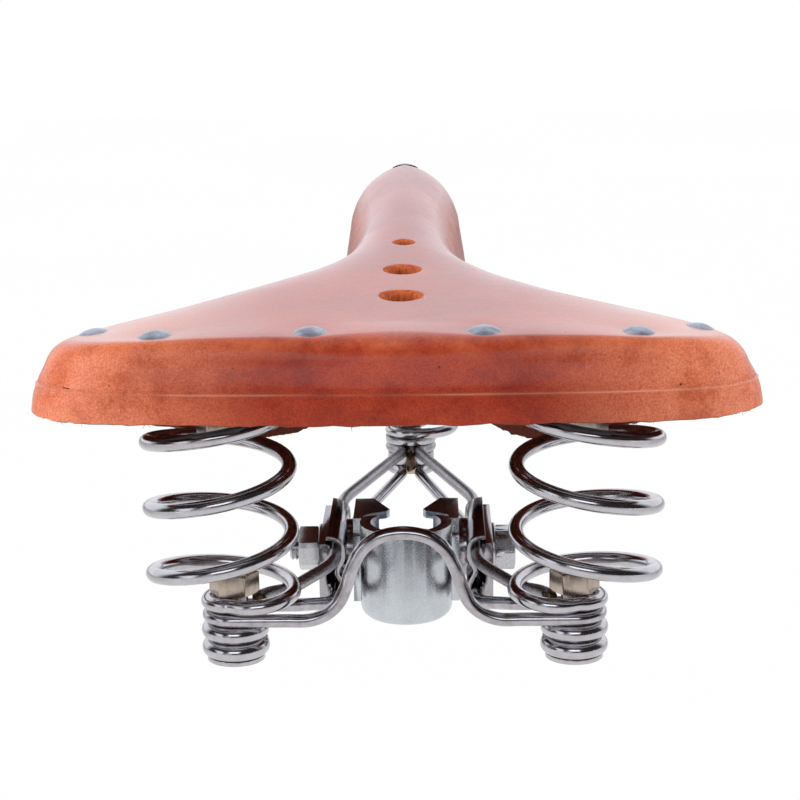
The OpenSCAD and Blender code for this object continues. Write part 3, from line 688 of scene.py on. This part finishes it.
def spring_path(turns, pitch, radius, ends, axes, y, z, lean):
    """Path of a spring. ends and axes are the x of its end loops and of its coil axis, low and high."""
    t = np.linspace(0, turns, round(turns * 56) + 1)
    u = t / turns
    open_ = ease((np.minimum(t, turns - t) - 0.5) / 0.28)
    full = turns - 2 * EASE_FROM - EASE_TURNS
    rise = pitch * np.where(t <= turns / 2, ramp(t), full - ramp(turns - t))
    turn = np.radians(SPRING_START) + 2 * np.pi * t
    centre = (ends[0] + (ends[1] - ends[0]) * u) * (1 - open_) + (axes[0] + (axes[1] - axes[0]) * u) * open_
    r = LOOP_R + (radius - LOOP_R) * open_
    return np.stack([centre + r * np.cos(turn), y + r * np.sin(turn),
                     z + rise + lean * open_ * r * np.cos(turn)], axis=1)


def springs():
    left = spring_path(SPRING_TURNS, SPRING_PITCH, SPRING_R, (-BASE_X, -TOP_BOLT_X), SPRING_AXIS_X, BASE_Y,
                       SPRING_FOOT_Z, SPRING_LEAN)
    left = tube(left, SPRING_WIRE / 2, WIRE_SIDES)
    nose = spring_path(SPRING_TURNS, NOSE_PITCH, NOSE_SPRING_R, (0, 0), (0, 0), NOSE_Y, NOSE_FOOT_Z, 0)
    nose = tube(nose, NOSE_WIRE / 2, WIRE_SIDES)
    for name, part, x, y in (("left_spring", left, -BASE_X, BASE_Y),
                             ("right_spring", mirrored(left), BASE_X, BASE_Y),
                             ("nose_spring", nose, 0, NOSE_Y)):
        piece = make_mesh(name + "_wire", *part, [CHROME])
        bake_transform(piece)
        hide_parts(name)


# ---------------------------------------------------------------- rails

def bend(a, b, c, reach, n=12):
    """Points of a rounded corner at b, reaching that far along each leg."""
    a, b, c = (np.array(p, float) for p in (a, b, c))
    p, q = b + unit(a - b) * reach, b + unit(c - b) * reach
    t = (np.arange(n + 1) / n)[:, None]
    return (1 - t) ** 2 * p + 2 * t * (1 - t) * b + t * t * q


def arc(cx, cy, r, start, end, z, n=24):
    turn = np.radians(np.linspace(start, end, n + 1))
    return np.stack([cx + r * np.cos(turn), cy + r * np.sin(turn), np.full(n + 1, float(z))], axis=1)


def line(a, b, n=8):
    """Points strictly between a and b."""
    t = (np.arange(1, n) / n)[:, None]
    return np.array(a, float) * (1 - t) + np.array(b, float) * t


def joined(*runs):
    """One path from runs, with points added along the straights between them."""
    path = [runs[0]]
    for run in runs[1:]:
        if np.linalg.norm(run[0] - path[-1][-1]) > 4:
            path.append(line(path[-1][-1], run[0]))
        path.append(run)
    path = np.concatenate(path)
    keep = np.append(True, np.linalg.norm(np.diff(path, axis=0), axis=1) > 0.05)
    return path[keep]


def rail_front(nose_z, clamp_level):
    """From the front of the nose loop, through its neck, to the bend before the clamp."""
    loop_end = -35
    a = [NOSE_LOOP_R * math.cos(math.radians(loop_end)),
         NOSE_Y + NOSE_LOOP_R * math.sin(math.radians(loop_end)), nose_z]
    neck = [NOSE_NECK[0], NOSE_Y + NOSE_NECK[1], nose_z]
    b = [RAIL_X, STRAIGHT_FRONT, clamp_level]
    c = [RAIL_X, STRAIGHT_BACK, clamp_level]
    loop = arc(0, NOSE_Y, NOSE_LOOP_R, 90, loop_end, nose_z)
    return loop, bend(a, neck, b, 4), bend(neck, b, c, FRONT_BEND)


def upper_half():
    b = [RAIL_X, STRAIGHT_FRONT, RAIL_UP_Z]
    c = [RAIL_X, STRAIGHT_BACK, RAIL_UP_Z]
    dip = [34.8, -26.8, 17.35]
    rest = np.array([40.6, -34, 18.5])
    end = np.array([43.2, -37.4, BASE_LOOP_Z + 2 * RAIL_R + 0.05])
    return joined(*rail_front(NOSE_UP_Z, RAIL_UP_Z), bend(b, c, dip, BACK_BEND), bend(c, dip, rest, 4),
                  rest[None], end[None])


# Right half of the rear arch, seen from behind: x and height over the base loops
ARCH_SIDE = np.array([[34, 0], [28, 0.1], [23, 1.9], [19.3, 5.3], [16.9, 10.4], [15.1, 16.1], [12, 21.7],
                      [7, 25.4], [0, 26.7]])


def lower_half():
    b = [RAIL_X, STRAIGHT_FRONT, RAIL_LOW_Z]
    c = [RAIL_X, STRAIGHT_BACK, RAIL_LOW_Z]
    d = [35.5, BASE_Y + BASE_LOOP_R, BASE_LOOP_Z - 0.6]
    e = [BASE_X, BASE_Y + BASE_LOOP_R, BASE_LOOP_Z]
    steps = 12
    lift = (ARCH_Z - BASE_LOOP_Z) / ARCH_SIDE[-1, 1]
    side = np.stack([ARCH_SIDE[:, 0], np.full(len(ARCH_SIDE), BASE_Y - BASE_LOOP_R),
                     BASE_LOOP_Z + ARCH_SIDE[:, 1] * lift], axis=1)
    keys = np.concatenate([side[:1], side, side[-2:-3:-1] * [-1, 1, 1]])
    arch = closed_curve(keys, steps)[steps:steps * len(side) + 1]
    return joined(*rail_front(NOSE_LOW_Z, RAIL_LOW_Z), bend(b, c, d, BACK_BEND), bend(c, d, e, 8),
                  arc(BASE_X, BASE_Y, BASE_LOOP_R, 90, -90, BASE_LOOP_Z), arch)


def rails():
    upper = upper_half()
    both = np.concatenate([(upper * [-1, 1, 1])[:0:-1], upper])
    piece = make_mesh("upper_rail_wire", *tube(both, RAIL_R, 22), [RAIL_ZINC], "wire_frame")
    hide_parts("upper_rail")
    lower = lower_half()
    both = np.concatenate([lower, (lower * [-1, 1, 1])[-2:0:-1]])
    piece = make_mesh("lower_rail_wire", *tube(both, RAIL_R, 22), [RAIL_CHROME], "wire_frame")
    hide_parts("lower_rail")


def base_coils():
    """Two flat turns of thick wire under each spring, with a steep step at the back."""
    turn = np.linspace(COIL_FROM, COIL_TO, 190)
    radius = BOLT_R + COIL_WIRE_R + COIL_AIR
    drop = 2 * COIL_WIRE_R + 0.05
    z = COIL_Z + drop * (1 - ease((COIL_STEP - turn) / COIL_STEP_TURN))
    turn = np.radians(turn)
    left = np.stack([radius * np.cos(turn), radius * np.sin(turn), z], axis=1)
    left = tube(left, COIL_WIRE_R, WIRE_SIDES)
    left = placed(left, (-BASE_X, BASE_Y, 0))
    for name, part in (("left_base_coil", left), ("right_base_coil", mirrored(left))):
        piece = make_mesh(name + "_wire", *part, [CHROME], "wire_frame")
        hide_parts(name)


# ---------------------------------------------------------------- small parts

def cross_bolt():
    """The clamp's bolt, along X, with its threaded end on the left."""
    low, high = (np.array(corner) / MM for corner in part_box("clamp_bolt"))
    shank, head_h, flats = BOLT_R, 6.5, 13
    corner = flats / math.sqrt(3)
    start, seat, end = low[0], high[0] - head_h, high[0]
    pitch = 1.25
    steps = np.arange(start + 0.6, start + 22, pitch / 8)
    profile = [(0.1, start), (shank - 1, start), (shank - 0.5, start + 0.3)]
    profile += [(shank, x) for x in steps] + [(shank, seat)]
    profile += [(corner - 0.9, seat), (corner, seat + 0.35), (corner, end - 0.7), (corner - 0.35, end - 0.3),
                (corner - 1.1, end), (0.1, end)]
    part = lathe(profile, 72, (pitch, 0.7, steps[0], steps[-1]), (flats, seat, end))
    along = Matrix.Rotation(math.pi / 2, 3, "Y")
    piece = make_mesh("clamp_bolt_threaded", *placed(part, (0, CLAMP_Y, CLAMP_Z), along), [BOLT_ZINC],
                      "post_clamp")
    piece.data.set_sharp_from_angle(angle=math.radians(35))
    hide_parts("clamp_bolt")


def braze(name, centre, size, seed):
    """A small run of brass over a joint of two wires."""
    work = bmesh.new()
    bmesh.ops.create_icosphere(work, subdivisions=3, radius=1)
    for vert in work.verts:
        swell = 1 + 0.22 * noise.noise(vert.co * 1.7 + Vector((seed, 0, 0)))
        vert.co = Vector(c + v * s * swell for c, v, s in zip(centre, vert.co, size)) * MM
    mesh = bpy.data.meshes.new(name)
    work.to_mesh(mesh)
    work.free()
    mesh.materials.append(BRAZE)
    mesh.polygons.foreach_set("use_smooth", [True] * len(mesh.polygons))
    piece = bpy.data.objects.new(name, mesh)
    bpy.context.scene.collection.objects.link(piece)
    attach(piece, "wire_frame")


def brazes():
    for seed, sign in enumerate((-1, 1)):
        braze(("left", "right")[seed] + "_braze", (sign * 43, -37.2, 18.4), (2.4, 2.2, 1.7), seed)
    braze("nose_braze", (0, NOSE_Y + NOSE_NECK[1] - 0.5, (NOSE_LOW_Z + NOSE_UP_Z) / 2), (1.9, 2.3, 4.1), 9)


# ---------------------------------------------------------------- carried-over CAD nodes

def dress(names, material, bevel=0.0, angle=32, smooth=True):
    """Gives CAD nodes their finish, and softens their edges by a bevel in millimetres."""
    for name in names:
        node = NODES[name]
        node.data.materials.clear()
        node.data.materials.append(material)
        node.data.polygons.foreach_set("material_index", [0] * len(node.data.polygons))
        weld = node.modifiers.new("weld", "WELD")
        weld.merge_threshold = 0.002 * MM
        if bevel:
            edge = node.modifiers.new("soft_edges", "BEVEL")
            edge.width = bevel * MM
            edge.segments = 3
            edge.limit_method = "ANGLE"
            edge.angle_limit = math.radians(angle)
            edge.harden_normals = True
        if smooth:
            node.data.polygons.foreach_set("use_smooth", [True] * len(node.data.polygons))


def dress_cad():
    dress(["cantle_plate", "nose_plate"], ENAMEL, 0.3)
    dress(["base_bolts"], CHROME, 0.4)
    dress(["base_nuts", "nose_nut", "nose_bolt"], NICKEL, 0.25)
    dress(["spring_top_bolts", "spring_top_nuts", "nose_top_bolt", "nose_top_nut"], NICKEL, 0.25)
    dress(["nose_spacer", "nose_seat"], BOLT_ZINC, 0.3)
    dress(["clamp_band"], ZINC, 0.9)
    dress(["left_inner_cheek", "right_inner_cheek", "left_outer_cheek", "right_outer_cheek"], CHEEK_ZINC, 0.6)
    dress(["clamp_nut", "clamp_washers"], BOLT_ZINC, 0.3)


# ---------------------------------------------------------------- studio

class Sky(Finish):
    """The studio as the object sees it: each helper returns a value between 0 and 1 for a direction."""

    def __init__(self, name):
        world = bpy.data.worlds.new(name)
        bpy.context.scene.world = world
        world.use_nodes = True
        self.tree = world.node_tree
        self.shader = self.tree.nodes["Background"]
        self.place = self.tree.nodes.new("ShaderNodeTexCoord").outputs["Generated"]
        split = self.tree.nodes.new("ShaderNodeSeparateXYZ")
        self.tree.links.new(self.place, split.inputs[0])
        self.x, self.y, self.z = split.outputs

    def step(self, value, start, end, low=0.0, high=1.0):
        made = self.tree.nodes.new("ShaderNodeMapRange")
        made.interpolation_type = "SMOOTHSTEP"
        for name, number in (("From Min", start), ("From Max", end), ("To Min", low), ("To Max", high)):
            made.inputs[name].default_value = number
        self.tree.links.new(value, made.inputs["Value"])
        return made.outputs["Result"]

    def window(self, value, start, end, edge):
        return self.maths("MULTIPLY", self.step(value, start - edge, start + edge),
                          self.step(value, end - edge, end + edge, 1.0, 0.0))


# Brightness of the studio's parts as they show in reflections
COVE, FRONT_BOX, LOW_BOX, LEFT_STRIP, CEILING, FLATS = 1.1, 2.1, 0.75, 1.2, 0.6, 0.03


def world():
    """A white cove behind, a wide box over the camera, a dimmer one low on the left, a strip far left."""
    sky = Sky("studio")
    front = sky.step(sky.y, -0.25, -0.1, 1.0, 0.0)
    cove = sky.step(sky.y, 0.02, 0.5, 0.0, COVE)
    ceiling = sky.step(sky.z, 0.7, 0.95, 0.0, CEILING)
    light = sky.maths("MAXIMUM", sky.maths("MAXIMUM", cove, ceiling), FLATS)
    boxes = ((FRONT_BOX, (-0.32, 0.26), (0.25, 0.53)), (LOW_BOX, (-0.5, -0.2), (-0.04, 0.2)),
             (LEFT_STRIP, (-0.88, -0.62), (0.0, 0.45)))
    for strength, across, up in boxes:
        shape = sky.maths("MULTIPLY", sky.window(sky.x, *across, 0.06), sky.window(sky.z, *up, 0.05))
        shape = sky.maths("MULTIPLY", shape, sky.maths("MULTIPLY", front, strength))
        light = sky.maths("MAXIMUM", light, shape)
    seen = sky.node("ShaderNodeLightPath", output="Is Camera Ray")
    strength = sky.node("ShaderNodeMix", {0: seen, 2: light, 3: 1.0})
    sky.set(Strength=strength, Color=sky.mix(seen, (0.93, 0.95, 1.0), (1.0, 1.0, 1.0)))


def lamp(name, place, size, watts, target=(0, 0.0, 0.06)):
    """A soft light that shows in no reflection: the sky has the boxes that do."""
    light = bpy.data.lights.new(name, "AREA")
    light.shape = "RECTANGLE"
    light.size, light.size_y = size
    light.energy = watts
    holder = bpy.data.objects.new(name, light)
    bpy.context.scene.collection.objects.link(holder)
    holder.location = place
    aim = Vector(target) - Vector(place)
    holder.rotation_euler = aim.to_track_quat("-Z", "Y").to_euler()
    holder.visible_glossy = False
    return holder


def studio():
    world()
    lamp("overhead", (0, 0.2, 1.0), (1.2, 0.8), 4)
    lamp("side_left", (-1.0, -0.6, 0.3), (0.5, 0.6), 13)
    lamp("side_right", (1.0, -0.35, 0.3), (0.5, 0.6), 9)
    lamp("front", (-0.1, -1.2, 0.5), (0.6, 0.4), 1.2)
    floor_z = cad_box[0][2] * 1000 - 55
    finish = Finish("floor_white", Base_Color=(0.45, 0.44, 0.43), Roughness=0.9, Specular_IOR_Level=0.1)
    tree = finish.tree
    rays = tree.nodes.new("ShaderNodeLightPath")
    bright = finish.node("ShaderNodeEmission", {"Color": (1, 1, 1), "Strength": 1.0})
    along = finish.node("ShaderNodeSeparateXYZ", {0: finish.place}, output="Y")
    along = finish.maths("MULTIPLY", finish.maths("ADD", along, 1.0), 0.5)
    near = finish.ramp(along, (0.26, 0.04), (0.4, 1.0))
    aside = finish.maths("ABSOLUTE", finish.node("ShaderNodeSeparateXYZ", {0: finish.place}, output="X"))
    near = finish.maths("MULTIPLY", near, finish.ramp(aside, (0.16, 1.0), (0.4, 0.3)))
    contact = finish.noise(3, 2)
    seen = finish.ramp(contact, (0.0, 0.985), (1.0, 1.0))
    share = finish.maths("MAXIMUM", finish.maths("MULTIPLY", rays.outputs["Is Camera Ray"], seen),
                         finish.maths("MULTIPLY", rays.outputs["Is Glossy Ray"],
                                      finish.maths("MULTIPLY", near, 0.75)))
    lit = finish.node("ShaderNodeMixShader", {0: share, 1: finish.shader.outputs[0], 2: bright})
    back = finish.node("ShaderNodeNewGeometry", output="Backfacing")
    clear = finish.node("ShaderNodeBsdfTransparent")
    both = finish.node("ShaderNodeMixShader", {0: back, 1: lit, 2: clear})
    tree.links.new(both, tree.nodes["Material Output"].inputs["Surface"])
    half = 2500
    corners = [(-half, -half, floor_z), (half, -half, floor_z), (half, half, floor_z), (-half, half, floor_z)]
    make_mesh("floor", corners, [(0, 1, 2, 3)], [finish.material], smooth=False)


def camera():
    """From behind and a little above, as a product picture is taken."""
    yaw, pitch, roll = (math.radians(a) for a in (-1.117, 13.12, -0.752))
    made = bpy.data.cameras.new("camera")
    made.sensor_width = 36
    made.lens = 89.4
    made.clip_start, made.clip_end = 0.01, 20
    holder = bpy.data.objects.new("camera", made)
    bpy.context.scene.collection.objects.link(holder)
    turn = Matrix.Rotation(-yaw, 4, "Z") @ Matrix.Rotation(math.pi / 2 - pitch, 4, "X")
    turn = turn @ Matrix.Rotation(roll, 4, "Z")
    holder.matrix_world = Matrix.Translation((0.01043, -0.6009, 0.2098)) @ turn
    bpy.context.scene.camera = holder
    bpy.context.scene.view_settings.view_transform = "Standard"


leather()
rivets()
hem_fibres(*leather_grid())
springs()
rails()
base_coils()
cross_bolt()
brazes()
dress_cad()
studio()
camera()
